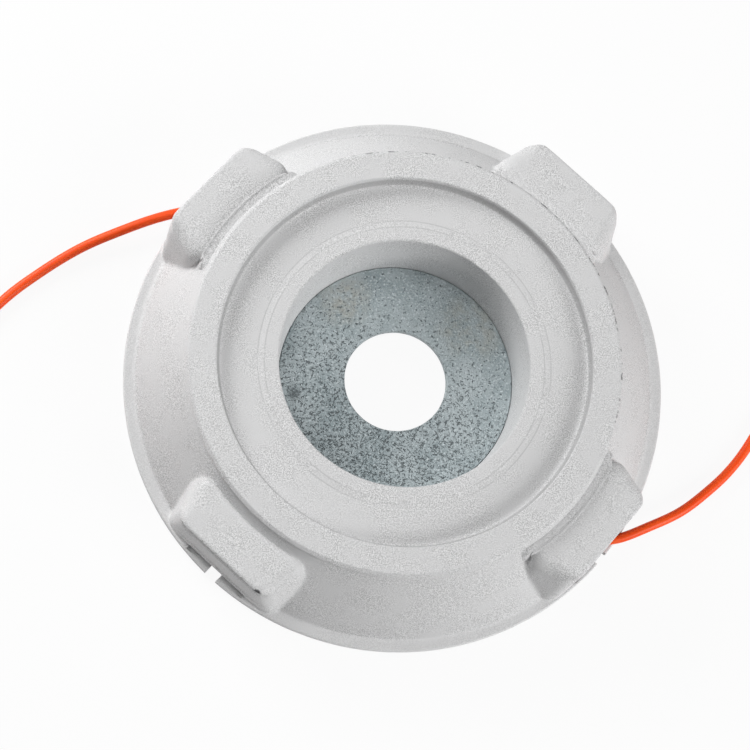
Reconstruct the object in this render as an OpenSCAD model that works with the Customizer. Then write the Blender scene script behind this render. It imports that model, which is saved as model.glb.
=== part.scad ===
// Fixed-line trimmer head: a hollow die-cast disc with four raised lugs, a deep central cup for the
// drive nut, a steel clamping plate let into the hub, and one length of round nylon line.
// Millimetres. +Z points out of the cup, away from the gearbox. The origin is on the spin axis, in
// the plane of the open back.

/* [Disc] */
// Diameter over the rim
head_d = 134; // [130:1:150]
// Thickness of the flat rim
rim_t = 2.3; // [1.8:0.1:3]
// Width of the flat land outside the foot of the cone
rim_land = 3; // [2:0.5:4]
// Height of the raised ring above the back plane
head_h = 24.4; // [23:0.2:27]
// Outer diameter of the raised ring
ring_d = 104.8; // [102:0.2:106]
// Width of the raised ring
ring_w = 7.1; // [5:0.1:9]
// Bevel on the outer edge of the ring
ring_bevel = 0.8; // [0.4:0.1:1.2]
// Depth of the round tray inside the ring
tray_depth = 3.6; // [2.5:0.1:4.5]
// Radius where the tray floor turns up into the ring
tray_r = 2.7; // [1:0.1:3]
// Thickness of the cast walls
wall_t = 3.4; // [2.8:0.1:4]

/* [Cup] */
// Diameter of the cup at its mouth
mouth_d = 60.6; // [57:0.2:62]
// Diameter of the cup at the plate
cup_d = 58.4; // [56:0.2:60]
// Width of the raised lip round the mouth
lip_w = 3.5; // [2:0.1:4]
// Height of the lip above the tray floor
lip_rise = 0.27; // [0.1:0.01:0.6]
// Width of the slope from the lip down to the tray floor
lip_slope = 1.6; // [0.5:0.1:2.5]
// Edge radius at the mouth
mouth_r = 0.6; // [0.3:0.1:1.2]

/* [Clamping plate] */
// Thickness of the steel plate
plate_t = 2; // [1.6:0.1:2.6]
// Bore for the gearbox spigot
bore_d = 25.4; // [20:0.2:30]
// Width of the plate hidden behind the cup wall
plate_seat = 3.8; // [2:0.1:5]
// Play between the plate's edge and its counterbore
plate_play = 0.05; // [0.02:0.01:0.2]
// Height of the plate's middle above the shoulder that the hub sits on
plate_step = 0.4; // [0.2:0.1:0.8]
// Gap between the plate's middle and the cup wall
plate_gap = 0.15; // [0.05:0.05:0.4]
// Wall of the hub round the counterbore
hub_wall = 4.2; // [3:0.1:6]

/* [Lugs] */
// Number of lugs
lug_count = 4; // [4, 2]
// Angle of the first lug
lug_angle = 47.2; // [30:0.1:60]
// Distance of a lug's flat outer face from the spin axis
lug_face = 65; // [64:0.1:65.5]
// Width of the groove between a lug and the ring
lug_gap = 1.9; // [1.5:0.1:2.5]
// Height of a lug's top at its outer edge
lug_h = 22.1; // [20:0.1:24]
// Fall of a lug's top towards the ring
lug_fall = 0.6; // [0.2:0.1:1]
// Half length of a lug at its outer foot
lug_half = 16; // [15:0.1:17]
// Angle by which a lug's ends close in towards the rim
lug_close = 19; // [10:1:24]
// Draft angle of a lug's ends
lug_draft = 11; // [6:1:14]
// Radius where a lug's top turns down into its ends
lug_shoulder = 5; // [3:0.5:6]
// Radius of the two corners beside the ring
lug_corner = 3.4; // [2:0.1:5]
// Break on the lug's outer top edge
lug_edge = 0.7; // [0.3:0.1:1.2]

/* [Line slots] */
// Width of a window at the rim's top face
window_w = 18.6; // [16:0.1:20]
// Width of a window at its upper edge
window_top_w = 15.6; // [13:0.1:17]
// Height of a window above the rim
window_h = 4.7; // [4.4:0.1:5.4]
// Width of the slit through the rim
slit_w = 3.4; // [3:0.1:4]
// Width of the hollow inside a lug
hollow_w = 26; // [21:0.5:27]

/* [Line] */
// Diameter of the nylon line
line_d = 2.4; // [2:0.1:2.7]

/* [Hidden] */
$fn = 96;

alloy = [0.78, 0.79, 0.80];
steel = [0.55, 0.58, 0.62];
orange = [1.0, 0.42, 0.12];

rim_r = head_d / 2;
ring_r = ring_d / 2;
cone_foot = rim_r - rim_land;
cone_drop = 1.4;
cone_top = head_h - ring_bevel - cone_drop;
cone_h = cone_top - rim_t;
cone_w = cone_foot - ring_r;
cone_len = norm([cone_w, cone_h]);
tray_z = head_h - tray_depth;
lip_z = tray_z + lip_rise;
mouth_rad = mouth_d / 2;
lip_r = mouth_rad + lip_w;
seat_r = cup_d / 2 + plate_seat;
hub_r = seat_r + hub_wall;
hub_draft = 1.4;
edge = 0.4;
core_r = 2;
over = 10;
shoulder_z = plate_t - plate_step;

// Where the inside of the cone wall is at height z: the outer cone moved in square to itself.
function core_at(z) = cone_foot - wall_t * cone_len / cone_h - (z - rim_t) * cone_w / cone_h;

lug_in = ring_r + lug_gap;
lug_top_in = lug_h - lug_fall;
lug_roof = lug_top_in - wall_t;
core_ceiling = head_h - wall_t;
core_floor = tray_z - wall_t;
hollow_out = core_at(0) - edge;

// Points of an arc about c from angle a0 to a1.
function arc(c, r, a0, a1, n = 6) =
    [for (i = [0:n]) c + r * [cos(a0 + (a1 - a0) * i / n), sin(a0 + (a1 - a0) * i / n)]];

// Half section of the solid disc, with the cup open and nothing cored out yet.
function disc_section() = concat(
    [[cup_d / 2, shoulder_z]],
    arc([mouth_rad + mouth_r, lip_z - mouth_r], mouth_r, 180, 90, 4),
    [[lip_r, lip_z], [lip_r + lip_slope, tray_z]],
    arc([ring_r - ring_w - edge - tray_r, tray_z + tray_r], tray_r, -90, 0),
    [[ring_r - ring_w - edge / 4, head_h - edge], [ring_r - ring_w + edge / 4, head_h],
     [ring_r - ring_bevel, head_h], [ring_r, head_h - ring_bevel], [ring_r, cone_top],
     [cone_foot, rim_t], [rim_r - edge, rim_t], [rim_r, rim_t - edge], [rim_r, edge],
     [rim_r - edge, 0], [seat_r, 0], [seat_r, shoulder_z]]);

// Half section of the ring-shaped hollow that is open at the back.
function core_section() = concat(
    [[hub_r, -over], [hub_r, 0]],
    arc([hub_r - hub_draft + core_r, core_floor - core_r], core_r, 180, 90, 4),
    [[ring_r - ring_w - wall_t, core_floor], [ring_r - ring_w, core_ceiling]],
    arc([core_at(core_ceiling - core_r) - core_r, core_ceiling - core_r], core_r, 90, 30, 4),
    [[core_at(0), 0], [core_at(0), -over]]);

module disc() {
    rotate_extrude()
        polygon(disc_section());
}

module core() {
    rotate_extrude()
        polygon(core_section());
}

// Everything on the inner side of one drafted lug end; side is 1 or -1.
module lug_end(side) {
    run = over + rim_r;
    lean = tan(lug_draft);
    turn = 90 - lug_draft;
    centre = [lug_half - lean * (lug_h - rim_t) - lug_shoulder * tan(turn / 2), lug_h - lug_shoulder];
    translate([lug_face, 0, 0])
        mirror([0, side < 0 ? 1 : 0, 0])
            rotate([0, 0, -lug_close])
                rotate([90, 0, -90])
                    translate([0, 0, -over])
                        linear_extrude(height = run)
                            mirror([1, 0, 0])
                                polygon(concat(
                                    [[-run, 0], [lug_half + lean * rim_t, 0]],
                                    arc(centre, lug_shoulder, lug_draft, 90),
                                    [[centre[0], lug_h + over], [-run, lug_h + over]]));
}

// Top of a lug: a shallow cone that falls towards the ring, with the concave inner face.
module lug_ring() {
    rotate_extrude()
        polygon([[lug_in, 1], [lug_in, lug_top_in - lug_edge], [lug_in + lug_edge, lug_top_in],
                 [rim_r + over, lug_h + lug_fall], [rim_r + over, 1]]);
}

// Flat outer face of a lug with its broken top edge, drawn as radius against height.
module lug_front() {
    rotate([90, 0, 0])
        translate([0, 0, -rim_r])
            linear_extrude(height = 2 * rim_r)
                polygon([[0, 0], [lug_face, 0], [lug_face, lug_h - 2 * lug_edge],
                         [lug_face - lug_edge, lug_h - lug_edge / 2], [lug_face - 2 * lug_edge, lug_h + lug_fall],
                         [0, lug_h + over]]);
}

// Plan of a lug where its two inner corners are rounded.
module lug_plan() {
    reach = lug_half + (lug_face - lug_in) * tan(lug_close) - 2;
    corner = [lug_in + lug_corner - 0.6, reach - lug_corner];
    linear_extrude(height = lug_h + over)
        polygon(concat(
            [[rim_r, -reach]],
            arc([corner[0], -corner[1]], lug_corner, -90, -180, 4),
            [[corner[0] - lug_corner, 0]],
            arc(corner, lug_corner, 180, 90, 4),
            [[rim_r, reach]]));
}

module lug() {
    intersection() {
        lug_ring();
        lug_front();
        lug_plan();
        lug_end(1);
        lug_end(-1);
    }
}

// T-shaped way out for the line: a window over the rim, the slit below it, and the lug's own hollow.
module line_slot() {
    translate([core_at(window_h + rim_t) - core_r, 0, 0])
        rotate([90, 0, 90])
            linear_extrude(height = rim_r)
                polygon([[-window_w / 2, rim_t], [window_w / 2, rim_t],
                         [window_top_w / 2, rim_t + window_h], [-window_top_w / 2, rim_t + window_h]]);
    translate([hub_r + core_r, -slit_w / 2, -over])
        cube([rim_r, slit_w, over + rim_t + edge]);
    translate([lug_in + wall_t / 2, -hollow_w / 2, -over])
        cube([hollow_out - lug_in - wall_t / 2, hollow_w, over + lug_roof]);
}

module each_lug() {
    for (i = [0:lug_count - 1])
        rotate([0, 0, lug_angle + i * 360 / lug_count])
            children();
}

module head_casting() {
    color(alloy)
        difference() {
            union() {
                disc();
                each_lug() lug();
            }
            core();
            each_lug() line_slot();
        }
}

module clamping_plate() {
    color(steel)
        difference() {
            union() {
                cylinder(r = seat_r - plate_play, h = shoulder_z);
                cylinder(r = cup_d / 2 - plate_gap, h = plate_t);
            }
            translate([0, 0, -over])
                cylinder(d = bore_d, h = plate_t + 2 * over);
        }
}

// The line lies loose beside the head, comes in over one lug's tongue, passes a quarter of the way
// round the hub and bends back out over the tongue of the opposite lug.
line_route = [
    [-120, -68, 1.25], [-123.5, -57, 1.25], [-125, -45, 1.25], [-124.5, -33, 1.25], [-121.5, -20, 1.25],
    [-116, -7, 1.25], [-108, 6, 1.25], [-97, 18.5, 1.25], [-88, 26, 1.3], [-78, 32.5, 1.9],
    [-68, 37, 2.8], [-58.5, 40.5, 3.5], [-50, 42.5, 3.6], [-42, 42.5, 3.5], [-32, 42, 2.3],
    [-20, 41.5, 1.4], [-8, 40.5, 1.25], [4, 39.5, 1.25], [15, 36.5, 1.25], [25, 30.5, 1.25],
    [33, 21.5, 1.25], [38, 10.5, 1.25], [39.5, -2, 1.25], [39.5, -14, 1.4], [40, -24, 2],
    [40.5, -31, 2.8], [43, -36.5, 3.5], [48, -39.5, 3.6], [54, -39.5, 3.6], [62, -36.5, 3.5],
    [70.5, -32.5, 2.6], [78, -27, 1.7], [84, -21.5, 1.3], [89.5, -14.5, 1.25], [97.5, -1.5, 1.25],
    [104, 14, 1.25], [108, 31, 1.25], [109, 48, 1.25], [107, 64, 1.25], [103.5, 77, 1.25]];
line_sides = 8;
line_steps = 2;

// A point on the smooth curve through a route, u counted in spans.
function on_route(p, u) =
    let (n = len(p) - 1, i = min(floor(u), n - 1), t = u - i, a = p[max(i - 1, 0)], b = p[i],
         c = p[i + 1], d = p[min(i + 2, n)])
    0.5 * (2 * b + t * (c - a) + t * t * (2 * a - 5 * b + 4 * c - d) + t * t * t * (3 * b - a - 3 * c + d));

function unit(v) = v / norm(v);

// One ring of the tube at u, square to the curve.
function ring_at(p, u, r) =
    let (near = 0.01, n = len(p) - 1, along = unit(on_route(p, min(u + near, n)) - on_route(p, max(u - near, 0))),
         side = unit(cross([0, 0, 1], along)), up = cross(along, side))
    [for (k = [0:line_sides - 1]) on_route(p, u) + r * (side * cos(k * 360 / line_sides) + up * sin(k * 360 / line_sides))];

module tube(p, r) {
    last = (len(p) - 1) * line_steps;
    points = [for (j = [0:last]) each ring_at(p, j / line_steps, r)];
    walls = [for (j = [0:last - 1], k = [0:line_sides - 1])
        let (a = j * line_sides + k, b = j * line_sides + (k + 1) % line_sides)
        [a, a + line_sides, b + line_sides, b]];
    ends = [[for (k = [0:line_sides - 1]) k], [for (k = [line_sides - 1:-1:0]) last * line_sides + k]];
    polyhedron(points, concat(walls, ends));
}

module trimmer_line() {
    color(orange)
        tube(line_route, line_d / 2);
}

head_casting();
clamping_plate();
trimmer_line();
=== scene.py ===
import math

import bpy
import numpy as np
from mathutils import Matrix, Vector


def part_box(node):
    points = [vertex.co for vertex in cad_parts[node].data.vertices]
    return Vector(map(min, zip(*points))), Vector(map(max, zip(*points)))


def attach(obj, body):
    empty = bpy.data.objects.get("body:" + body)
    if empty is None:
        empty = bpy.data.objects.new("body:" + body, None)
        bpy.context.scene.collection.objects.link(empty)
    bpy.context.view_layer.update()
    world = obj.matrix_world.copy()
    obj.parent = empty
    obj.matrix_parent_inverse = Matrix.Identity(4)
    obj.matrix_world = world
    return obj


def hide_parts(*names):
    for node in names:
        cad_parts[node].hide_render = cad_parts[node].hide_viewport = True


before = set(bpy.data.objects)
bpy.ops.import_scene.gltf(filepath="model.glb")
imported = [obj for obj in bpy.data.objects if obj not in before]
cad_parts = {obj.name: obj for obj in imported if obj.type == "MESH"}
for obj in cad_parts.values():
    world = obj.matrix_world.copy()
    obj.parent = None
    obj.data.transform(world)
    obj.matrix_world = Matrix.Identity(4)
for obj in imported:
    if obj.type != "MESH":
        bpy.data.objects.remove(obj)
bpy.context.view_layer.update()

# Camera: degrees, metres, and millimetres for the lens and its sensor
CAMERA_TILT = 15.15
CAMERA_AZIMUTH = 244.08
# Where it stands, measured along its own right, up and back from the origin
CAMERA_PLACE = (-0.004883, 0.001864, 0.5518)
LENS, SENSOR_WIDTH = 106.69, 36
NEAREST, FARTHEST = 0.01, 20


def set_up_camera():
    """Camera that looks down into the cup, tilted 15 degrees from the spin axis towards the lower left."""
    tilt, azimuth = math.radians(CAMERA_TILT), math.radians(CAMERA_AZIMUTH)
    flat = math.sin(tilt)
    towards = Vector((flat * math.cos(azimuth), flat * math.sin(azimuth), math.cos(tilt)))
    turn = towards.rotation_difference(Vector((0, 0, 1))).inverted()
    data = bpy.data.cameras.new("camera")
    data.sensor_width = SENSOR_WIDTH
    data.lens = LENS
    data.clip_start, data.clip_end = NEAREST, FARTHEST
    camera = bpy.data.objects.new("camera", data)
    camera.rotation_mode = "QUATERNION"
    camera.rotation_quaternion = turn
    camera.location = turn @ Vector(CAMERA_PLACE)
    bpy.context.scene.collection.objects.link(camera)
    bpy.context.scene.camera = camera


set_up_camera()

# Mesh helpers
SMOOTH_ANGLE, LINE_SMOOTH_ANGLE = 35.0, 40.0
# Where the flats beside a rounded corner get a point of their own, in setbacks from the corner
FLAT_LEAD = 1.25


def soften(piece, angle):
    """Smooth shading with sharp edges only where two faces meet at more than the angle, in degrees."""
    mesh = piece.data
    mesh.polygons.foreach_set("use_smooth", np.ones(len(mesh.polygons), bool))
    mesh.set_sharp_from_angle(angle=math.radians(angle))
    mesh.update()


def make_piece(name, points, faces, smooth_angle=SMOOTH_ANGLE, uv=None):
    """One mesh object at the origin from an array of points and a list of faces, with a uv for each point."""
    mesh = bpy.data.meshes.new(name)
    mesh.from_pydata(points.reshape(-1, 3).tolist(), [], faces)
    if uv is not None:
        layer = mesh.uv_layers.new(name="along")
        corner = np.zeros(len(mesh.loops), np.int32)
        mesh.loops.foreach_get("vertex_index", corner)
        layer.data.foreach_set("uv", uv[corner].astype(np.float32).ravel())
    piece = bpy.data.objects.new(name, mesh)
    bpy.context.scene.collection.objects.link(piece)
    soften(piece, smooth_angle)
    return piece


def grid_faces(rows, columns, closed):
    """Four-sided faces of a grid of points: every point with the next one along its row, which closes on
    itself, and the same two in the next row. A closed grid also joins its last row to its first."""
    row, column = np.meshgrid(np.arange(rows if closed else rows - 1), np.arange(columns), indexing="ij")
    after, beside = (row + 1) % rows, (column + 1) % columns
    this_row, next_row = row * columns, after * columns
    corners = [this_row + column, this_row + beside, next_row + beside, next_row + column]
    return np.stack(corners, axis=2).reshape(-1, 4)


def rounded(corners, steps=5):
    """Section line whose corners are rounded: each corner (radius, height, setback) becomes the parabola that
    leaves one side and meets the other at the setback from the corner, with one more point on each side so
    that the flats between the corners shade flat. The first and last corner are ends and stay as they are."""
    corners = np.asarray(corners, float)
    middle, setback = corners[1:-1, :2], corners[1:-1, 2:3]
    before = corners[:-2, :2] - middle
    after = corners[2:, :2] - middle
    before = before / np.linalg.norm(before, axis=1, keepdims=True) * setback
    after = after / np.linalg.norm(after, axis=1, keepdims=True) * setback
    u = np.linspace(0, 1, steps)[None, :, None]
    arc = middle[:, None] + (1 - u) ** 2 * before[:, None] + u ** 2 * after[:, None]
    lead = middle[:, None] + FLAT_LEAD * before[:, None]
    tail = middle[:, None] + FLAT_LEAD * after[:, None]
    inner = np.concatenate([lead, arc, tail], axis=1).reshape(-1, 2)
    return np.concatenate([corners[:1, :2], inner, corners[-1:, :2]])


def turned(r, z, angle):
    """Surface round the spin axis: radius times the cosine and sine of the angle, and the height, one row of
    points for each angle."""
    across, along = r * np.cos(angle)[:, None], r * np.sin(angle)[:, None]
    return np.stack([across, along, np.broadcast_to(z, across.shape)], axis=2)


# Nylon line, in metres: one route through the head
LINE_D = 0.0024
LINE_SIDES, LINE_STEPS = 20, 6
LINE_ROUTE = np.array([
    (-0.12, -0.068, 0.00125), (-0.1235, -0.057, 0.00125), (-0.125, -0.045, 0.00125),
    (-0.1245, -0.033, 0.00125), (-0.1215, -0.02, 0.00125), (-0.116, -0.007, 0.00125),
    (-0.108, 0.006, 0.00125), (-0.097, 0.0185, 0.00125), (-0.088, 0.026, 0.0013), (-0.078, 0.0325, 0.0019),
    (-0.068, 0.037, 0.0028), (-0.0585, 0.0405, 0.0035), (-0.05, 0.0425, 0.0036), (-0.042, 0.0425, 0.0035),
    (-0.032, 0.042, 0.0023), (-0.02, 0.0415, 0.0014), (-0.008, 0.0405, 0.00125), (0.004, 0.0395, 0.00125),
    (0.015, 0.0365, 0.00125), (0.025, 0.0305, 0.00125), (0.033, 0.0215, 0.00125), (0.038, 0.0105, 0.00125),
    (0.0395, -0.002, 0.00125), (0.0395, -0.014, 0.0014), (0.04, -0.024, 0.002), (0.0405, -0.031, 0.0028),
    (0.043, -0.0365, 0.0035), (0.048, -0.0395, 0.0036), (0.054, -0.0395, 0.0036), (0.062, -0.0365, 0.0035),
    (0.0705, -0.0325, 0.0026), (0.078, -0.027, 0.0017), (0.084, -0.0215, 0.0013),
    (0.0895, -0.0145, 0.00125), (0.0975, -0.0015, 0.00125), (0.104, 0.014, 0.00125),
    (0.108, 0.031, 0.00125), (0.109, 0.048, 0.00125), (0.107, 0.064, 0.00125), (0.1035, 0.077, 0.00125)])
# Points of the route where the line leaves the head, and the lengths of its free ends beyond them
WEST_EXIT, EAST_EXIT = 12, 28
# A bare end: the share of the radius that wear leaves it, and how far it stands out
WORN_SHARE, WORN_STEP = 0.84, 0.0002
# Part of a span over which the route's direction is taken
NEARBY = 0.01


def on_route(u):
    """Points on the smooth cubic through the route, u counted in spans; a span leans on both neighbours."""
    last = len(LINE_ROUTE) - 1
    i = np.minimum(np.floor(u).astype(int), last - 1)
    t = (u - i)[:, None]
    a, b = LINE_ROUTE[np.maximum(i - 1, 0)], LINE_ROUTE[i]
    c, d = LINE_ROUTE[i + 1], LINE_ROUTE[np.minimum(i + 2, last)]
    square, cube = 2 * a - 5 * b + 4 * c - d, 3 * b - a - 3 * c + d
    return 0.5 * (2 * b + t * (c - a) + t * t * square + t ** 3 * cube)


def line_piece(name, start, end, bare_start, bare_end):
    """Round tube along the route between two of its points: at each centre a circle square to the run. A bare
    end is cut square with a slightly worn edge, and every end is closed by its own middle point."""
    last = len(LINE_ROUTE) - 1
    u = np.linspace(start, end, (end - start) * LINE_STEPS + 1)
    centres = on_route(u)
    along = on_route(np.minimum(u + NEARBY, last)) - on_route(np.maximum(u - NEARBY, 0))
    along /= np.linalg.norm(along, axis=1, keepdims=True)
    side = np.cross((0.0, 0.0, 1.0), along)
    side /= np.linalg.norm(side, axis=1, keepdims=True)
    up = np.cross(along, side)
    turn = np.linspace(0, 2 * np.pi, LINE_SIDES, endpoint=False)
    spokes = side[:, None] * np.cos(turn)[None, :, None] + up[:, None] * np.sin(turn)[None, :, None]
    spokes *= LINE_D / 2
    rings = [centres[:, None] + spokes]
    if bare_start:
        rings.insert(0, centres[:1, None] + spokes[:1] * WORN_SHARE - along[:1, None] * WORN_STEP)
    if bare_end:
        rings.append(centres[-1:, None] + spokes[-1:] * WORN_SHARE + along[-1:, None] * WORN_STEP)
    tube = np.concatenate(rings)
    count = len(tube)
    path = tube.mean(axis=1)
    points = np.concatenate([tube.reshape(-1, 3), path[:1], path[-1:]])
    k = np.arange(LINE_SIDES)
    beside = (k + 1) % LINE_SIDES
    top = (count - 1) * LINE_SIDES
    middle = np.full(LINE_SIDES, count * LINE_SIDES)
    start_cap = np.stack([beside, k, middle], axis=1)
    end_cap = np.stack([top + k, top + beside, middle + 1], axis=1)
    faces = grid_faces(count, LINE_SIDES, False).tolist() + start_cap.tolist() + end_cap.tolist()
    run = np.concatenate([[0], np.cumsum(np.linalg.norm(np.diff(path, axis=0), axis=1))])
    uv = np.stack([np.tile(k / LINE_SIDES, count), np.repeat(run, LINE_SIDES)], axis=1)
    uv = np.concatenate([uv, [[0, run[0]], [0, run[-1]]]])
    piece = make_piece(name, points, faces, LINE_SMOOTH_ANGLE, uv)
    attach(piece, "root")
    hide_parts("trimmer_line")
    return piece, path


line_west, west_path = line_piece("line_end_west", 0, WEST_EXIT, True, False)
line_middle, _ = line_piece("line_round_hub", WEST_EXIT, EAST_EXIT, False, False)
line_east, east_path = line_piece("line_end_east", EAST_EXIT, len(LINE_ROUTE) - 1, False, True)

# Cast head and steel disc, in millimetres until they are meshes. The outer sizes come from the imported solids
MM = 0.001
casting_high, plate_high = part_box("head_casting")[1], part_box("clamping_plate")[1]
RIM_R = round(2 * casting_high.x / MM) / 2
HEAD_H = round(casting_high.z / MM, 1)
PLATE_T = round(plate_high.z / MM, 1)

# Disc of the casting: rim, ring, tray and cup
RIM_T, RIM_LAND = 2.3, 3.0
RING_R, RING_W, RING_BEVEL = 52.4, 7.1, 0.8
RING_IN_FOOT, RING_IN_TOP = 45.0, 45.2
CONE_DROP = 1.4
TRAY_DEPTH, LIP_RISE, LIP_W, LIP_SLOPE = 3.6, 0.27, 3.5, 1.6
MOUTH_R, CUP_R = 30.3, 29.2
WALL_T = 3.4
HOLLOW_FOOT, HOLLOW_TOP = 61.41, 49.17
CONE_FOOT = RIM_R - RIM_LAND
CONE_TOP = HEAD_H - RING_BEVEL - CONE_DROP
RING_IN = RING_R - RING_W
TRAY_Z = HEAD_H - TRAY_DEPTH
LIP_Z = TRAY_Z + LIP_RISE
LIP_R = MOUTH_R + LIP_W
LIP_FOOT = LIP_R + LIP_SLOPE
RING_CEILING, TRAY_CEILING = HEAD_H - WALL_T, TRAY_Z - WALL_T

# Steel disc and its seat in the hub
BORE_R = 12.7
PLATE_STEP, PLATE_SEAT, PLATE_PLAY, PLATE_GAP = 0.4, 3.8, 0.05, 0.15
HUB_WALL, HUB_DRAFT = 4.2, 1.4
SHOULDER_Z = PLATE_T - PLATE_STEP
SEAT_R = CUP_R + PLATE_SEAT
HUB_R = SEAT_R + HUB_WALL

# Lugs. The solids stand at 47.2 degrees and every quarter turn on, these at the real casting's uneven angles
LUG_ANGLES = np.radians([47.3, 137.1, 227.05, 318.5])
LUG_GAP, LUG_FACE = 1.9, 65.0
LUG_IN = RING_R + LUG_GAP
LUG_H, LUG_FALL = 22.1, 0.6
# Half length at the outer foot, and how much the ends grow inwards and lean with height
LUG_HALF, LUG_CLOSE, LUG_LEAN = 16.3, 0.31, 0.14
# Roundings: upright corners beside the face and beside the ring, top edge, and what the ends add to it
FACE_CORNER, RING_CORNER, TOP_EDGE, END_SHOULDER = 2.6, 5.0, 0.7, 3.2
# Length over which the soft top edge of the ends passes into the crisp one of the face
SHOULDER_BLEND = 1.2
# Channel under the top edge of the face: height of its middle, depth and half width
CHANNEL_Z, CHANNEL_DEPTH, CHANNEL_HALF = 19.4, 0.45, 0.8
# Low rib over the window, in the same order
RIB_Z, RIB_RISE, RIB_HALF = 7.2, 0.5, 0.75
# Radius that no lug passes, and the edge there
LUG_LIMIT, LUG_LIMIT_EDGE = 66.2, 0.4

# Grooves between lugs and ring: height of each floor, deep at the front lug only, and what bounds the floors
GROOVE_Z = np.array([21.55, 21.55, 17.5, 21.55])
GROOVE_OUT, GROOVE_SLOPE, GROOVE_EDGE = 54.8, 0.35, 1.0
FILLET = 0.5
# Factors that bring the slanted measures at the ends of a lug and of a groove nearly to true distances
LUG_END_SCALE, GROOVE_END_SCALE = 0.926, 0.94


def cut_round(a, b, radius):
    """What is inside both shapes, with their common edge rounded: distances a and b are below zero inside."""
    u, v = np.maximum(radius + a, 0), np.maximum(radius + b, 0)
    return np.minimum(-radius, np.maximum(a, b)) + np.hypot(u, v)


def join_round(a, b, radius):
    """What is inside either shape, with the corner between them filled by a fillet."""
    u, v = np.maximum(radius - a, 0), np.maximum(radius - b, 0)
    return np.maximum(radius, np.minimum(a, b)) - np.hypot(u, v)


def beside_lug(r, z, phi):
    """Distance to one lug, phi measured from its middle: a block with a flat outer face, a curved inner wall,
    two ends that lean in and close in towards the rim, and a top that falls towards the ring. Its upright
    corners are rounded, its top is soft over the ends and crisper along the face and the ring, and the face
    has a channel under its top edge and a low rib over the window."""
    outwards, aside = r * np.cos(phi), r * np.abs(np.sin(phi))
    top = z - LUG_H + LUG_FALL * (LUG_FACE - r) / (LUG_FACE - LUG_IN)
    end = LUG_END_SCALE * (aside - LUG_HALF - LUG_CLOSE * (LUG_FACE - outwards) + LUG_LEAN * (z - RIM_T))
    channel = CHANNEL_DEPTH * np.exp(-((z - CHANNEL_Z) / CHANNEL_HALF) ** 2)
    rib = RIB_RISE * np.exp(-((z - RIB_Z) / RIB_HALF) ** 4)
    face = outwards - LUG_FACE + channel - rib
    wall = LUG_IN - r
    sides = cut_round(cut_round(end, face, FACE_CORNER), wall, RING_CORNER)
    over_end = 1 / (1 + np.exp(-(end - np.maximum(face, wall)) / SHOULDER_BLEND))
    lug = cut_round(top, sides, TOP_EDGE + END_SHOULDER * over_end)
    return cut_round(lug, r - LUG_LIMIT, LUG_LIMIT_EDGE)


def beside_casting(r, z, phi, groove):
    """Distance to the outside of the casting between the ring and the rim: ring wall, cone and lug joined by
    small fillets, the floor of the groove between lug and ring at its own height, and the flat of the rim."""
    height, width = CONE_TOP - RIM_T, CONE_FOOT - RING_R
    cone = ((r - CONE_FOOT) * height + (z - RIM_T) * width) / math.hypot(height, width)
    disc = np.minimum(cone, r - RING_R)
    end = GROOVE_END_SCALE * (r * np.abs(np.sin(phi)) - LUG_HALF + GROOVE_SLOPE * (z - groove))
    groove_floor = cut_round(np.maximum(z - groove, r - GROOVE_OUT), end, GROOVE_EDGE)
    body = join_round(np.minimum(disc, groove_floor), beside_lug(r, z, phi), FILLET)
    return join_round(body, z - RIM_T, FILLET)


# Probes that find the outside of the casting, each a line from a point inside it to one outside it. A row
# holds the start's radius and height, the end's radius and height, the share of the flat face's reach by
# which the end moves out, and the number of probes up to the next row
PROBES = np.array([
    # down the ring and across the groove
    (51.5, 23.0, 53.3, 23.0, 0, 2), (51.5, 22.4, 53.3, 22.75, 0, 2), (52.2, 21.4, 52.9, 23.2, 0, 5),
    (54.0, 17.0, 54.0, 22.5, 0, 2),
    # up the lug's inner wall and over its top
    (54.6, 17.0, 54.15, 22.3, 0, 4), (56.0, 15.5, 54.15, 22.45, 0, 6), (56.6, 14.3, 54.5, 23.0, 0, 3),
    (57.1, 13.2, 55.3, 23.0, 0, 9), (59.5, 8.6, 63.95, 23.5, 0.8, 4), (59.7, 8.1, 65.6, 23.4, 1, 4),
    # down its face to the rim
    (59.94, 7.77, 65.47, 22.1, 1, 8), (60.36, 6.95, 65.5, 19.2, 1, 9), (61.7, 4.4, 66.1, 9.95, 1, 9),
    (62.0, 3.7, 66.3, 7.3, 1, 6), (62.6, 2.6, 66.5, 3.5, 1, 3), (62.9, 2.0, 66.6, 2.75, 1, 0)])
HALVINGS = 30
# Angle from a lug's middle up to which the probes follow its flat face
FACE_ANGLE = math.radians(11.5)
# Flat of the rim: where the turned section takes over, where the probes' points end, and the points between
# them and the last probe, as shares of the way, sought between two heights
RIM_FLAT_R, PROBES_END, FLAT_END = 66.45, 66.42, 66.4
FLAT_SHARES, FLAT_LEAST = np.array([0.3, 0.65]), 0.02
FLAT_LOW, FLAT_HIGH = 1.2, 7.0


def meet_surface(start, end, phi, groove):
    """Radius and height where each line from a start inside the casting to an end outside it meets the
    surface: the line is halved, and again the half that the surface crosses."""
    low, high = np.zeros(start.shape[1:]), np.ones(start.shape[1:])
    for _ in range(HALVINGS):
        half = (low + high) / 2
        r, z = start + (end - start) * half
        inside = beside_casting(r, z, phi[:, None], groove[:, None]) < 0
        low, high = np.where(inside, half, low), np.where(inside, high, half)
    return start + (end - start) * low


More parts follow.
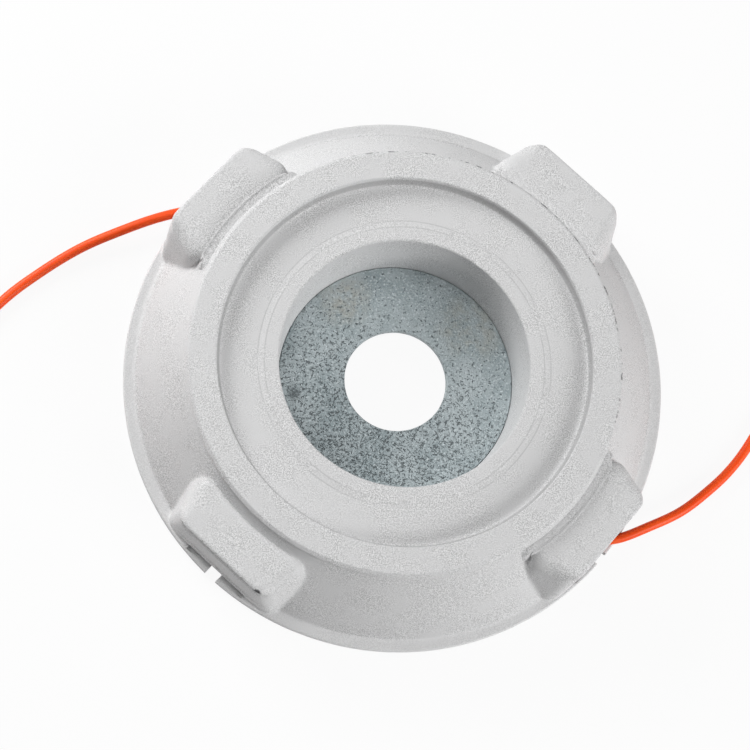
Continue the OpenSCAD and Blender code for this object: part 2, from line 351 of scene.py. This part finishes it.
def outside_of_cone(phi, groove):
    """Radius and height of the casting from the ring's wall to the rim, one row for each column angle: the
    points where the probes meet the surface, their ends moved out with the flat face, whose radius is its
    distance over the cosine of the angle. The last points run out over the rim's flat."""
    knots = np.concatenate([[0], np.cumsum(PROBES[:-1, 5])])
    s = np.arange(knots[-1] + 1)
    start_r, start_z, end_r, end_z, follow = (np.interp(s, knots, PROBES[:, i]) for i in range(5))
    reach = LUG_FACE / np.cos(np.minimum(np.abs(phi), FACE_ANGLE)) - LUG_FACE
    shift = reach[:, None] * follow[None, :]
    start = np.stack([np.broadcast_to(start_r, shift.shape), np.broadcast_to(start_z, shift.shape)])
    end = np.stack([end_r + shift, np.broadcast_to(end_z, shift.shape)])
    r, z = meet_surface(start, end, phi, groove)
    r = np.minimum(r, PROBES_END)
    flat_r = r[:, -1:] + np.maximum(FLAT_END - r[:, -1:], FLAT_LEAST) * FLAT_SHARES
    low, high = np.full(flat_r.shape, FLAT_LOW), np.full(flat_r.shape, FLAT_HIGH)
    _, flat_z = meet_surface(np.stack([flat_r, low]), np.stack([flat_r, high]), phi, groove)
    return np.concatenate([r, flat_r], axis=1), np.concatenate([z, flat_z], axis=1)


# Columns of the casting over half a lug's quarter: degrees from its middle, and how many in each stretch
END_OF_LUG, QUARTER_END = 20.5, 45
COLUMNS = [(0, 9, 6), (9, END_OF_LUG, 32), (END_OF_LUG, QUARTER_END, 14)]
# Corners of the turned part: radius, height and setback of the rounding
TURNED = rounded([
    # rim
    (RIM_FLAT_R, RIM_T, 0), (RIM_R, RIM_T, 0.42), (RIM_R, 0, 0.42),
    # hollow
    (HOLLOW_FOOT, 0, 0.3), (HOLLOW_TOP, RING_CEILING, 2.0), (RING_IN, RING_CEILING, 1.0),
    (RING_IN - WALL_T, TRAY_CEILING, 1.0), (HUB_R - HUB_DRAFT, TRAY_CEILING, 2.0),
    # hub with the disc's seat, and cup
    (HUB_R, 0, 0.3), (SEAT_R, 0, 0.2), (SEAT_R, SHOULDER_Z, 0.05), (CUP_R, SHOULDER_Z, 0.05),
    (MOUTH_R, LIP_Z, 0.6), (LIP_R, LIP_Z, 0.12),
    # tray and ring, down to the first probe
    (LIP_FOOT, TRAY_Z, 0.15), (RING_IN_FOOT, TRAY_Z, 1.6), (RING_IN_TOP, HEAD_H, 0.45),
    (RING_R - RING_BEVEL, HEAD_H, 0.25), (RING_R, HEAD_H - RING_BEVEL, 0.25), (RING_R, 23.05, 0)])


def cast_head():
    """The casting as one closed surface: at every column angle a section runs from the rim round the open
    back, the hollow, the hub, the cup, the lip, the tray and the ring, and then down the cone over any lug
    there. Over a lug the columns keep their angles from its middle, and between lugs they spread evenly."""
    half = np.concatenate([np.linspace(start, end, count, endpoint=False) for start, end, count in COLUMNS])
    quarter = np.radians(np.concatenate([[-QUARTER_END], -half[:0:-1], half]))
    around = np.concatenate([LUG_ANGLES[-1:] - 2 * np.pi, LUG_ANGLES, LUG_ANGLES[:1] + 2 * np.pi])
    apart = np.diff(around)
    room = np.where(quarter[None, :] < 0, apart[:-1, None], apart[1:, None]) / 2
    lug_end, quarter_end = math.radians(END_OF_LUG), math.radians(QUARTER_END)
    spread = np.clip((np.abs(quarter) - lug_end) / (quarter_end - lug_end), 0, 1)
    angle = (LUG_ANGLES[:, None] + quarter * (1 - spread) + np.sign(quarter) * spread * room).ravel()
    phi = np.tile(quarter, len(LUG_ANGLES))
    cone_r, cone_z = outside_of_cone(phi, np.repeat(GROOVE_Z, len(quarter)))
    shape = (len(phi), len(TURNED))
    r = np.concatenate([np.broadcast_to(TURNED[:, 0], shape), cone_r], axis=1)
    z = np.concatenate([np.broadcast_to(TURNED[:, 1], shape), cone_z], axis=1)
    return make_piece("cast_head", turned(r, z, angle) * MM, grid_faces(*r.shape, True).tolist())


# Cutters for the T-shaped ways out, in millimetres. OVER is how far they run past the open back
OVER = 1
HOLLOW_HALF, HOLLOW_OUT = 13, 61.0
HOLLOW_IN, HOLLOW_ROOF = LUG_IN + WALL_T / 2, LUG_H - LUG_FALL - WALL_T
# Window: half widths at its foot and top, height, how far it sinks into the rim, and where it starts and ends
WINDOW_HALF, WINDOW_TOP_HALF, WINDOW_H, WINDOW_SINK = 9.3, 7.8, 4.7, 0.03
WINDOW_IN, WINDOW_FACE, WINDOW_OUT, WINDOW_FLARE = 58.5, 64.7, 70.0, 2.2
# Shallow recess in the rim under the window, and the slit through the rim
RECESS_IN, RECESS_OUT, RECESS_HALF, RECESS_LOW, RECESS_HIGH = 60.0, 65.9, 8.9, 1.1, 2.4
SLIT_IN, SLIT_OUT, SLIT_HALF, SLIT_HIGH = HUB_R + 2, 75.0, 1.7, 2.5


def box_section(half, low, high):
    """Four corners of an upright rectangle, in the order that turns the prism's walls outwards."""
    return [(-half, low), (half, low), (half, high), (-half, high)]


def window_section(grow):
    """Trapezoid of the way out for the line, wider at the rim than at its top."""
    foot, top = WINDOW_HALF + grow, WINDOW_TOP_HALF + grow
    foot_z, top_z = RIM_T - WINDOW_SINK, RIM_T + WINDOW_H + grow
    return [(-foot, foot_z), (foot, foot_z), (top, top_z), (-top, top_z)]


def cutter(name, *sections):
    """Prisms to cut away, one at each lug: every section is four corners (across, height) at its own distance
    from the spin axis, joined to the next by four walls and closed at both ends."""
    distance = np.array([d for d, _ in sections], float)
    corners = np.array([c for _, c in sections], float)
    out = np.repeat(distance, 4)
    across, z = corners.reshape(-1, 2).T
    cos, sin = np.cos(LUG_ANGLES)[:, None], np.sin(LUG_ANGLES)[:, None]
    x, y = out * cos - across * sin, out * sin + across * cos
    points = np.stack([x, y, np.broadcast_to(z, x.shape)], axis=2) * MM
    last = len(out) - 4
    ends = [[3, 2, 1, 0], [last, last + 1, last + 2, last + 3]]
    one = np.concatenate([grid_faces(len(distance), 4, False), ends])
    faces = one[None] + (np.arange(len(LUG_ANGLES)) * len(out))[:, None, None]
    return make_piece(name, points, faces.reshape(-1, 4).tolist())


def cut_away(piece, cutters):
    """Takes the cutters' solids from the piece and deletes them."""
    for tool in cutters:
        step = piece.modifiers.new(tool.name, "BOOLEAN")
        step.operation = "DIFFERENCE"
        step.solver = "MANIFOLD"
        step.object = tool
    graph = bpy.context.evaluated_depsgraph_get()
    mesh = bpy.data.meshes.new_from_object(piece.evaluated_get(graph))
    piece.modifiers.clear()
    piece.data = mesh
    for tool in cutters:
        bpy.data.objects.remove(tool)
    soften(piece, SMOOTH_ANGLE)


cast = cast_head()
hollow = box_section(HOLLOW_HALF, -OVER, HOLLOW_ROOF)
recess = box_section(RECESS_HALF, RECESS_LOW, RECESS_HIGH)
slit = box_section(SLIT_HALF, -OVER, SLIT_HIGH)
cut_away(cast, [
    cutter("lug_hollow", (HOLLOW_IN, hollow), (HOLLOW_OUT, hollow)),
    cutter("line_window", (WINDOW_IN, window_section(0)), (WINDOW_FACE, window_section(0)),
           (WINDOW_OUT, window_section(WINDOW_FLARE))),
    cutter("line_recess", (RECESS_IN, recess), (RECESS_OUT, recess)),
    cutter("rim_slit", (SLIT_IN, slit), (SLIT_OUT, slit))])
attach(cast, "root")
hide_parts("head_casting")

# Steel disc: corners of its section, which starts and ends on the flat of its back
DISC_COLUMNS = 288
DISC_BACK_START, DISC_FLAT, DISC_BACK_END = 20.0, 16.0, 24.0
DISC_SECTION = rounded([
    (DISC_BACK_START, 0, 0), (BORE_R, 0, 0.2), (BORE_R, PLATE_T, 0.25), (DISC_FLAT, PLATE_T, 0.5),
    (CUP_R - PLATE_GAP, PLATE_T, 0.15), (CUP_R - PLATE_GAP, SHOULDER_Z, 0.05),
    (SEAT_R - PLATE_PLAY, SHOULDER_Z, 0.1), (SEAT_R - PLATE_PLAY, 0, 0.2), (DISC_BACK_END, 0, 0)])


def steel_disc():
    """The clamping plate as its section turned round the spin axis."""
    angle = np.linspace(0, 2 * np.pi, DISC_COLUMNS, endpoint=False)
    points = turned(DISC_SECTION[None, :, 0], DISC_SECTION[None, :, 1], angle) * MM
    return make_piece("steel_disc", points, grid_faces(DISC_COLUMNS, len(DISC_SECTION), True).tolist())


disc = steel_disc()
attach(disc, "root")
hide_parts("clamping_plate")

# Materials. Colours are linear red, green and blue, and sizes are metres
# The colour sockets of Blender's Mix node
MIX_A, MIX_B, MIXED = 6, 7, 2


def add(tree, kind, values=(), **settings):
    """A node with its inputs set from values: a socket is linked, anything else is written in."""
    made = tree.nodes.new(kind)
    for key, value in settings.items():
        setattr(made, key, value)
    for key, value in dict(values).items():
        if isinstance(value, bpy.types.NodeSocket):
            tree.links.new(value, made.inputs[key])
        else:
            made.inputs[key].default_value = value
    return made


def math_of(tree, operation, a, b=0.0, clamp=False):
    """Result of one sum on two values or sockets."""
    return add(tree, "ShaderNodeMath", {0: a, 1: b}, operation=operation, use_clamp=clamp).outputs[0]


def product(tree, first, *others):
    """All the values multiplied."""
    result = first
    for value in others:
        result = math_of(tree, "MULTIPLY", result, value)
    return result


def total(tree, a, b, clamp=False):
    """The two values added."""
    return math_of(tree, "ADD", a, b, clamp)


def off(tree, value, centre):
    """How far a value is from the centre, either way."""
    return math_of(tree, "ABSOLUTE", math_of(tree, "SUBTRACT", value, centre))


def ramp(tree, value, low, high):
    """Soft step from 0 at low to 1 at high."""
    made = add(tree, "ShaderNodeMapRange", {"Value": value, "From Min": low, "From Max": high},
               interpolation_type="SMOOTHSTEP")
    return made.outputs["Result"]


def noise(tree, place, scale, detail=3.0, rough=0.55, distortion=0.0):
    """Cloudy pattern from 0 to 1 on the object's own coordinates."""
    values = {"Vector": place, "Scale": scale, "Detail": detail, "Roughness": rough, "Distortion": distortion}
    return add(tree, "ShaderNodeTexNoise", values).outputs["Fac"]


def near(tree, place, centre, low, high):
    """1 closer than low to a point of the object, and 0 farther than high."""
    apart = add(tree, "ShaderNodeVectorMath", {0: place, 1: centre}, operation="DISTANCE").outputs["Value"]
    return ramp(tree, apart, high, low)


def mix(tree, amount, a, b):
    """Colour a where the amount is 0 and b where it is 1."""
    made = add(tree, "ShaderNodeMix", data_type="RGBA")
    for socket, value in ((made.inputs["Factor"], amount), (made.inputs[MIX_A], a), (made.inputs[MIX_B], b)):
        if isinstance(value, bpy.types.NodeSocket):
            tree.links.new(value, socket)
        else:
            socket.default_value = value
    return made.outputs[MIXED]


def bump(tree, height, distance, strength, under=None):
    """Relief from a height pattern, its distance in metres, over any relief under it."""
    values = {"Height": height, "Distance": distance, "Strength": strength}
    if under is not None:
        values["Normal"] = under
    return add(tree, "ShaderNodeBump", values).outputs[0]


def start_material(name):
    """Empty material with its shader and the object's coordinates."""
    material = bpy.data.materials.new(name)
    material.use_nodes = True
    tree = material.node_tree
    tree.nodes.clear()
    shader = tree.nodes.new("ShaderNodeBsdfPrincipled")
    out = tree.nodes.new("ShaderNodeOutputMaterial")
    tree.links.new(shader.outputs[0], out.inputs[0])
    place = tree.nodes.new("ShaderNodeTexCoord").outputs["Object"]
    return material, tree, shader, place


def finish_material(tree, shader, colour, roughness, relief):
    """Links what varies over the surface to the shader. Roughness may be one number for all of it."""
    tree.links.new(colour, shader.inputs["Base Color"])
    if isinstance(roughness, bpy.types.NodeSocket):
        tree.links.new(roughness, shader.inputs["Roughness"])
    else:
        shader.inputs["Roughness"].default_value = roughness
    tree.links.new(relief, shader.inputs["Normal"])


# Blasted aluminium: dark and light grain, clouds, a painted highlight on the rim, and the marks and painted
# shade over them
GRAIN_DARK, GRAIN_LIGHT, CLOUD_GREY = (0.43, 0.43, 0.432, 1), (0.84, 0.84, 0.843, 1), (0.66, 0.66, 0.663, 1)
# Painted highlight on the rim's flat, painted shade in the tray's corner and painted shade lines round the lip
RIM_HIGHLIGHT_GREY, CORNER_SHADE_GREY, LIP_SHADE_GREY = (0.78, 0.78, 0.782, 1), (0.16, 0.16, 0.162, 1), (0.25, 0.25, 0.252, 1)
# A broken dark line on the ring, painted shade in the channel under the front lug's top edge, and the pit
MARK_GREY, CHANNEL_SHADE_GREY, PIT_GREY = (0.12, 0.12, 0.125, 1), (0.1, 0.1, 0.102, 1), (0.04, 0.04, 0.042, 1)
PIT_PLACE = (-0.0357, -0.0556, 0.0213)
GRAIN_SCALE, CLOUD_SCALE, DIMPLE_SCALE, MARK_SCALE, CHANNEL_SHADE_SCALE = 3600, 120, 260, 420, 900


def ring_edge_dark_line(tree, place, radius, x, y, z):
    """Broken line just inside the ring's outer edge, on the side where x and y are large."""
    mark_r, edge_z = (RING_R - 0.3) * MM, (HEAD_H - RING_BEVEL) * MM
    line = ramp(tree, off(tree, radius, mark_r), 0.0004, 0.0001)
    high = ramp(tree, z, edge_z - 0.0004, edge_z)
    broken = ramp(tree, noise(tree, place, MARK_SCALE, 3.0, 0.7), 0.5, 0.62)
    side = ramp(tree, total(tree, x, product(tree, y, 0.9)), 0.02, 0.05)
    return product(tree, line, high, broken, side)


def painted_corner_shade(tree, radius, z):
    """Painted shade: a dark band in the corner where the tray meets the ring, below the ring's top edge."""
    corner_r = (RING_IN_FOOT - 0.1) * MM
    band = ramp(tree, off(tree, radius, corner_r), 0.0006, 0.0002)
    return product(tree, band, ramp(tree, z, 0.0238, 0.0226))


def lip_shade_lines(tree, patch, radius, z):
    """Two faint lines of painted shade round the lip, at its edge and at the foot of its slope, that fade out
    in places.
    """
    inner = ramp(tree, off(tree, radius, LIP_R * MM), 0.00022, 0.0001)
    outer = ramp(tree, off(tree, radius, LIP_FOOT * MM), 0.0002, 0.0001)
    lines = math_of(tree, "MAXIMUM", inner, outer)
    return product(tree, lines, ramp(tree, z, 0.02, 0.0205), ramp(tree, patch, 0.35, 0.6))


def painted_channel_shade(tree, place, z):
    """Ragged painted shade in the channel under the top edge of the front lug's face."""
    front = (math.cos(LUG_ANGLES[2]), math.sin(LUG_ANGLES[2]), 0)
    faced = add(tree, "ShaderNodeVectorMath", {0: place, 1: front}, operation="DOT_PRODUCT").outputs["Value"]
    ragged = math_of(tree, "SUBTRACT", noise(tree, place, CHANNEL_SHADE_SCALE, 3.0, 0.75), 0.5)
    ragged = product(tree, ragged, 0.004)
    under = total(tree, z, ragged)
    band = product(tree, ramp(tree, under, 0.0194, 0.02), ramp(tree, under, 0.0216, 0.0211))
    return product(tree, band, ramp(tree, faced, 0.0642, 0.0645))


def cast_aluminium():
    """Light grey blasted aluminium: fine sandy grain and faint clouds, with a broken dark line on the ring,
    one pit on the front lug, painted shade in the tray's corner, a painted highlight on the rim, painted shade
    lines at the lip's two edges and painted shade in the channel under the front lug's top edge."""
    material, tree, shader, place = start_material("cast_aluminium")
    x, y, z = add(tree, "ShaderNodeSeparateXYZ", {0: place}).outputs
    radius = math_of(tree, "SQRT", total(tree, product(tree, x, x), product(tree, y, y)))
    grain = noise(tree, place, GRAIN_SCALE, 2.0, 0.6)
    patch = noise(tree, place, CLOUD_SCALE, 4.0)
    colour = mix(tree, ramp(tree, grain, 0.32, 0.68), GRAIN_DARK, GRAIN_LIGHT)
    # Painted highlight: the flat of the rim is made lighter in colour
    rim = product(tree, ramp(tree, radius, 0.0639, 0.0644), ramp(tree, z, 0.0028, 0.0024))
    layers = [
        (ramp(tree, patch, 0.35, 0.75), CLOUD_GREY),
        # Broken dark line near the ring's outer edge, on the upper right side
        (ring_edge_dark_line(tree, place, radius, x, y, z), MARK_GREY),
        (near(tree, place, PIT_PLACE, 0.0006, 0.0011), PIT_GREY),
        # Painted shade in the corner of the tray
        (product(tree, painted_corner_shade(tree, radius, z), 0.42), CORNER_SHADE_GREY),
        (product(tree, rim, 0.6), RIM_HIGHLIGHT_GREY),
        # Painted shade lines at the lip's two edges
        (product(tree, lip_shade_lines(tree, patch, radius, z), 0.28), LIP_SHADE_GREY),
        # Painted shade in the channel of the front lug's face
        (product(tree, painted_channel_shade(tree, place, z), 0.6), CHANNEL_SHADE_GREY)]
    for amount, shade in layers:
        colour = mix(tree, amount, colour, shade)
    shader.inputs["Metallic"].default_value = 0.05
    shader.inputs["Specular IOR Level"].default_value = 0.25
    relief = bump(tree, grain, 0.0001, 0.75)
    relief = bump(tree, noise(tree, place, DIMPLE_SCALE, 3.0), 0.00018, 0.35, relief)
    finish_material(tree, shader, colour, total(tree, product(tree, patch, 0.12), 0.55), relief)
    return material


# Zinc plated steel: dark and light clouds, specks, stains, and the pits, creases and streak
ZINC_DARK, ZINC_LIGHT, SPECK = (0.28, 0.335, 0.35, 1), (0.43, 0.485, 0.50, 1), (0.56, 0.62, 0.635, 1)
STAIN_BROWN, ZINC_PIT = (0.40, 0.375, 0.31, 1), (0.07, 0.085, 0.09, 1)
STAIN_LEFT, STAIN_RIGHT = (-0.0125, 0.0205, 0.002), (0.019, 0.0135, 0.002)
STREAK_PLACE = (-0.0253, -0.0035, 0.002)
ZINC_SCALE, STAIN_SCALE, SPECK_SCALE, CREASE_SCALE, LENGTH_SCALE, SPOT_SCALE = 90, 260, 1900, 950, 1000, 2300


def brown_stains(tree, place):
    """Two blotchy stains on the upper half of the disc."""
    left = near(tree, place, STAIN_LEFT, 0.002, 0.009)
    right = near(tree, place, STAIN_RIGHT, 0.002, 0.011)
    blot = ramp(tree, noise(tree, place, STAIN_SCALE, 4.0, 0.6), 0.35, 0.65)
    return product(tree, total(tree, left, right, True), blot)


def zinc_steel():
    """Zinc plated steel gone dull: blue grey clouds with light specks and brown stains, one black streak, and
    small dark pits and short creases, which lie closer towards the lower left, where it is most worn."""
    material, tree, shader, place = start_material("zinc_steel")
    x, y, _ = add(tree, "ShaderNodeSeparateXYZ", {0: place}).outputs
    cloud = noise(tree, place, ZINC_SCALE, 4.0, 0.6)
    fine = noise(tree, place, SPECK_SCALE, 2.0, 0.6)
    colour = mix(tree, ramp(tree, cloud, 0.3, 0.7), ZINC_DARK, ZINC_LIGHT)
    colour = mix(tree, ramp(tree, fine, 0.5, 0.72), colour, SPECK)
    colour = mix(tree, product(tree, brown_stains(tree, place), 0.55), colour, STAIN_BROWN)
    low_left = total(tree, product(tree, x, -0.5), product(tree, y, -0.85))
    worn = ramp(tree, total(tree, low_left, product(tree, cloud, 0.03)), -0.008, 0.028)
    fold = off(tree, noise(tree, place, CREASE_SCALE, 2.0, 0.5, 0.9), 0.5)
    length = noise(tree, place, LENGTH_SCALE, 2.0)
    short = ramp(tree, total(tree, length, product(tree, worn, 0.12)), 0.58, 0.68)
    crease = product(tree, ramp(tree, fold, 0.06, 0.015), short)
    spots = noise(tree, place, SPOT_SCALE, 1.0, 0.5)
    pit = ramp(tree, total(tree, spots, product(tree, worn, 0.06)), 0.70, 0.76)
    streak = near(tree, place, STREAK_PLACE, 0.0005, 0.0024)
    streak = product(tree, streak, ramp(tree, fine, 0.38, 0.5))
    dark = math_of(tree, "MAXIMUM", math_of(tree, "MAXIMUM", pit, crease), streak)
    colour = mix(tree, product(tree, dark, 0.85), colour, ZINC_PIT)
    shader.inputs["Metallic"].default_value = 0.3
    relief = bump(tree, math_of(tree, "SUBTRACT", fine, dark), 0.0002, 0.8)
    finish_material(tree, shader, colour, total(tree, product(tree, cloud, 0.2), 0.38), relief)
    return material


# Nylon: its two oranges, how far light goes into it, and how finely its marks repeat round and along it
ORANGE_DEEP, ORANGE_LIGHT = (1.0, 0.07, 0.003, 1), (1.0, 0.11, 0.01, 1)
LIGHT_DEPTH = (0.002, 0.0008, 0.0004)
DRAWN_SCALE = (18, 60, 1)


def orange_nylon():
    """Bright orange nylon, a little glossy, with faint lengthwise drawing marks."""
    material, tree, shader, _ = start_material("orange_nylon")
    along = add(tree, "ShaderNodeUVMap", uv_map="along").outputs[0]
    drawn = add(tree, "ShaderNodeMapping", {"Vector": along, "Scale": DRAWN_SCALE}).outputs[0]
    marks = noise(tree, drawn, 1.0, 3.0)
    colour = mix(tree, ramp(tree, marks, 0.3, 0.7), ORANGE_DEEP, ORANGE_LIGHT)
    shader.inputs["Specular IOR Level"].default_value = 0.25
    shader.inputs["Subsurface Weight"].default_value = 0.1
    shader.inputs["Subsurface Radius"].default_value = LIGHT_DEPTH
    shader.inputs["Subsurface Scale"].default_value = 1.0
    finish_material(tree, shader, colour, 0.4, bump(tree, marks, 0.00004, 0.4))
    return material


def dress(piece, material):
    """Gives the piece one material."""
    piece.data.materials.clear()
    piece.data.materials.append(material)


dress(cast, cast_aluminium())
dress(disc, zinc_steel())
nylon = orange_nylon()
for run in (line_west, line_middle, line_east):
    dress(run, nylon)

# Floor, world and lamps
WHITE = (1, 1, 1, 1)
FLOOR_GREY, FLOOR_ROUGHNESS = (0.8, 0.8, 0.8, 1), 0.9
# Half width and depth of the floor in metres, and the share of white that the camera sees in it
FLOOR_HALF, FLOOR_Z, FLOOR_WHITE = 8.0, -0.0003, 0.92
WORLD_LEVEL = 0.11
# Azimuth and height in degrees as the object sees them, distance in metres and power in watts
LAMPS = {
    "upper_left": (134, 28, 0.62, 3.0),
    "lower_right": (323, 28, 1.1, 8.4),
    "overhead": (140, 70, 1.1, 2.5)}
# Width of a lamp, as a share of its distance
LAMP_WIDTH = 0.45


def white_for_camera(tree, plain, share):
    """Mixes a plain shader with white for what the camera, reflections and clear materials see."""
    path = add(tree, "ShaderNodeLightPath")
    seen = total(tree, path.outputs["Is Camera Ray"], path.outputs["Is Glossy Ray"])
    seen = total(tree, seen, path.outputs["Is Transmission Ray"], True)
    white = "ShaderNodeBackground" if share == 1 else "ShaderNodeEmission"
    glow = add(tree, white, {"Color": WHITE, "Strength": 1.0})
    amount = product(tree, seen, share)
    return add(tree, "ShaderNodeMixShader", {0: amount, 1: plain, 2: glow.outputs[0]}).outputs[0]


def lay_floor():
    """Pale plain floor just under the open back, which keeps a soft shadow."""
    corners = [(-1, -1), (1, -1), (1, 1), (-1, 1)]
    points = np.array([(x * FLOOR_HALF, y * FLOOR_HALF, FLOOR_Z) for x, y in corners])
    floor = make_piece("floor", points, [[0, 1, 2, 3]])
    material, tree, shader, _ = start_material("pale_floor")
    shader.inputs["Base Color"].default_value = FLOOR_GREY
    shader.inputs["Roughness"].default_value = FLOOR_ROUGHNESS
    out = next(node for node in tree.nodes if node.type == "OUTPUT_MATERIAL")
    tree.links.new(white_for_camera(tree, shader.outputs[0], FLOOR_WHITE), out.inputs[0])
    dress(floor, material)


def light_world(level):
    """Even light from all round; the camera and reflections see plain white."""
    world = bpy.data.worlds.new("studio")
    world.use_nodes = True
    bpy.context.scene.world = world
    tree = world.node_tree
    tree.nodes.clear()
    plain = add(tree, "ShaderNodeBackground", {"Color": WHITE, "Strength": level})
    out = tree.nodes.new("ShaderNodeOutputWorld")
    tree.links.new(white_for_camera(tree, plain.outputs[0], 1), out.inputs[0])


def soft_light(name, azimuth, height, distance, power):
    """Square soft lamp at an azimuth and a height in degrees, turned to the middle of the object."""
    azimuth, height = math.radians(azimuth), math.radians(height)
    flat = math.cos(height)
    place = distance * Vector((flat * math.cos(azimuth), flat * math.sin(azimuth), math.sin(height)))
    data = bpy.data.lights.new(name, "AREA")
    data.shape = "SQUARE"
    data.size = LAMP_WIDTH * distance
    data.energy = power
    lamp = bpy.data.objects.new(name, data)
    lamp.location = place
    lamp.rotation_mode = "QUATERNION"
    lamp.rotation_quaternion = place.to_track_quat("Z", "Y")
    bpy.context.scene.collection.objects.link(lamp)


lay_floor()
light_world(WORLD_LEVEL)
for lamp_name, lamp_setting in LAMPS.items():
    soft_light(lamp_name, *lamp_setting)

bpy.context.scene.view_settings.view_transform = "Standard"
